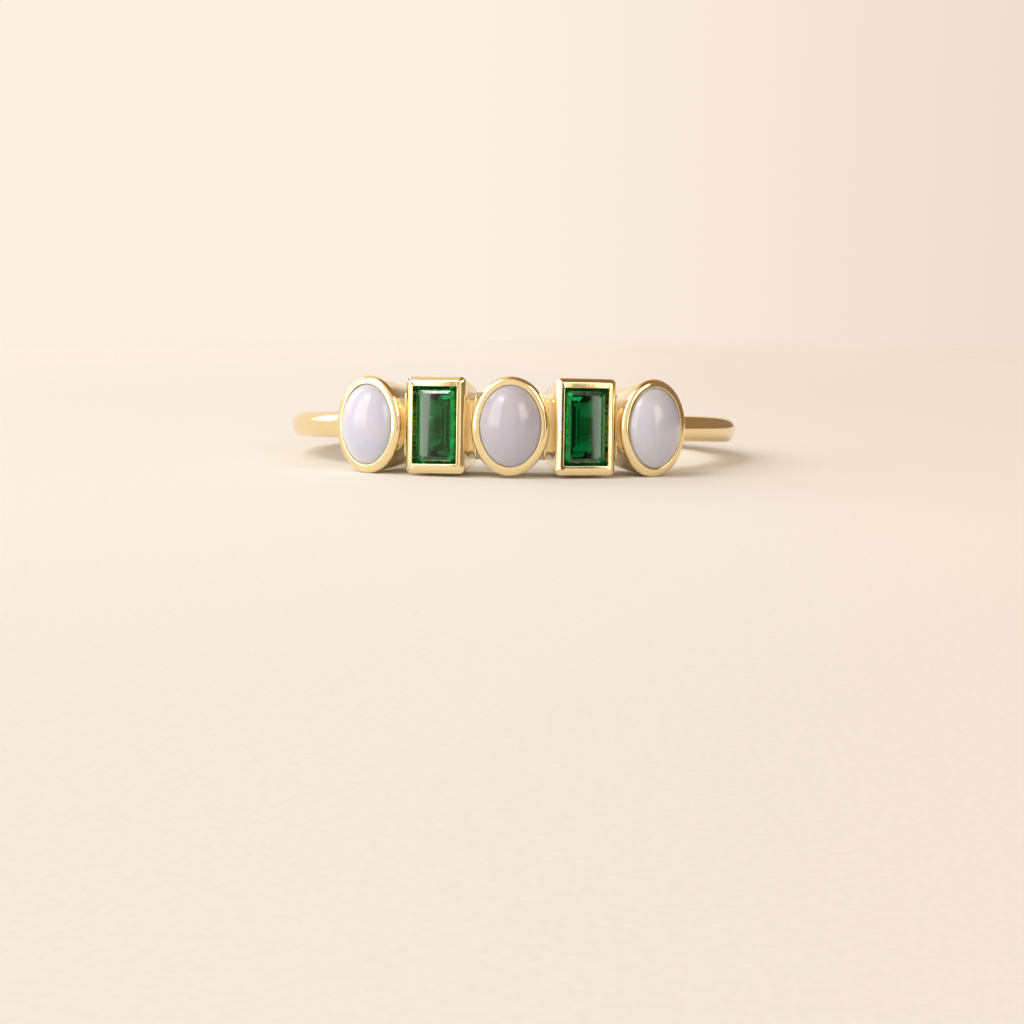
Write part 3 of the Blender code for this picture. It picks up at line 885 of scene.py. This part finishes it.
def soft_box(name, azimuths, elevations, strength, colour):
    """An upright panel facing the ring between two azimuths and two elevations, in degrees.

    Azimuth 0 is at the camera, and positive ones are to its right. The width is twice the distance times the
    tangent of half of what the panel spans, and it stands from the distance times the tangent of the lower
    elevation to that of the upper one. Strength is its radiance.
    """
    azimuth = math.radians(sum(azimuths) / 2)
    low, high = (math.tan(math.radians(elevation)) for elevation in elevations)
    light = bpy.data.lights.new(name, "AREA")
    light.shape = "RECTANGLE"
    span = math.radians(azimuths[1] - azimuths[0])
    light.size = 2 * math.tan(span / 2) * SOFT_BOX_DISTANCE * MILLIMETRE
    light.size_y = (high - low) * SOFT_BOX_DISTANCE * MILLIMETRE
    light.energy = strength * math.pi * light.size * light.size_y
    light.color = linear(colour)[:3]
    made = bpy.data.objects.new(name, light)
    out = Vector((math.sin(azimuth), -math.cos(azimuth), 0.0))
    made.location = (out + Vector((0, 0, (low + high) / 2))) * SOFT_BOX_DISTANCE * MILLIMETRE
    made.rotation_euler = out.to_track_quat("Z", "Y").to_euler()
    made.visible_camera = False
    bpy.context.scene.collection.objects.link(made)


soft_box("left_soft_box", (-77.0, -33.2), (2.0, 66.0), 2.4, "#FFFAF2")
soft_box("left_box_head", (-62.0, -34.0), (48.0, 56.0), 6.0, "#FFFBF4")
soft_box("right_soft_box", (31.7, 43.0), (2.0, 14.0), 1.5, "#FFF6EA")
soft_box("right_box_head", (31.7, 60.0), (16.0, 44.0), 3.2, "#FFF6EA")
soft_box("back_left_box", (-128.0, -108.0), (11.0, 45.0), 3.0, "#FFFAF2")

# Flags: a wide brown sheet on the right, which takes the light from that side of the gold, and two narrow
# ones beside the front soft boxes, black on the right and grey on the left, which darken the emeralds. The
# camera doesn't see them.

FLAG_COLUMNS = 60
FLAG_ROWS = 4


def flag(name, colour, radius, azimuths, heights):
    """An upright sheet on a circle round the ring, between two azimuths in degrees and two heights."""
    cloth, _, shader = new_material(name + "_felt")
    shader.inputs["Base Color"].default_value = linear(colour)
    shader.inputs["Roughness"].default_value = 1.0
    shader.inputs["Specular IOR Level"].default_value = 0.0
    turn = np.radians(np.linspace(*azimuths, FLAG_COLUMNS))
    height = np.linspace(*heights, FLAG_ROWS)[:, None]
    x = radius * np.sin(turn) + 0 * height
    y = -radius * np.cos(turn) + 0 * height
    made = stage_sheet(name, np.stack((x, y, height + 0 * turn), axis=-1), cloth)
    made.visible_camera = False


flag("brown_flag", "#8A7869", 900.0, (43.5, 160.0), (0.0, 840.0))
flag("black_flag", "#1A1612", 500.0, (22.0, 31.6), (0.0, 220.0))
flag("grey_flag", "#B4A898", 500.0, (-33.1, -26.0), (0.0, 220.0))

# Camera: a long lens, almost level with the ring's plane and 80 mm off. It is rolled a little, so that the
# ring's right side shows lower than its left.

CAMERA_LENS = 61.5
CAMERA_DISTANCE = 79.8
CAMERA_AZIMUTH = math.radians(0.67)
CAMERA_RISE = math.radians(4.0)
CAMERA_HEADING = math.radians(0.69)
CAMERA_PITCH = math.radians(-6.79)
CAMERA_ROLL = math.radians(0.74)

camera_data = bpy.data.cameras.new("camera")
camera_data.lens = CAMERA_LENS
camera_data.sensor_width = 36.0
camera_data.clip_start, camera_data.clip_end = 0.001, 4.0
camera = bpy.data.objects.new("camera", camera_data)
level = math.cos(CAMERA_RISE)
out = Vector((math.sin(CAMERA_AZIMUTH) * level, -math.cos(CAMERA_AZIMUTH) * level, math.sin(CAMERA_RISE)))
camera.location = Vector(ring_centre) + out * CAMERA_DISTANCE * MILLIMETRE
turned = Matrix.Rotation(CAMERA_HEADING, 4, "Z") @ Matrix.Rotation(math.pi / 2 + CAMERA_PITCH, 4, "X")
camera.rotation_euler = (turned @ Matrix.Rotation(CAMERA_ROLL, 4, "Z")).to_euler()
bpy.context.scene.collection.objects.link(camera)
bpy.context.scene.camera = camera

bpy.context.view_layer.update()
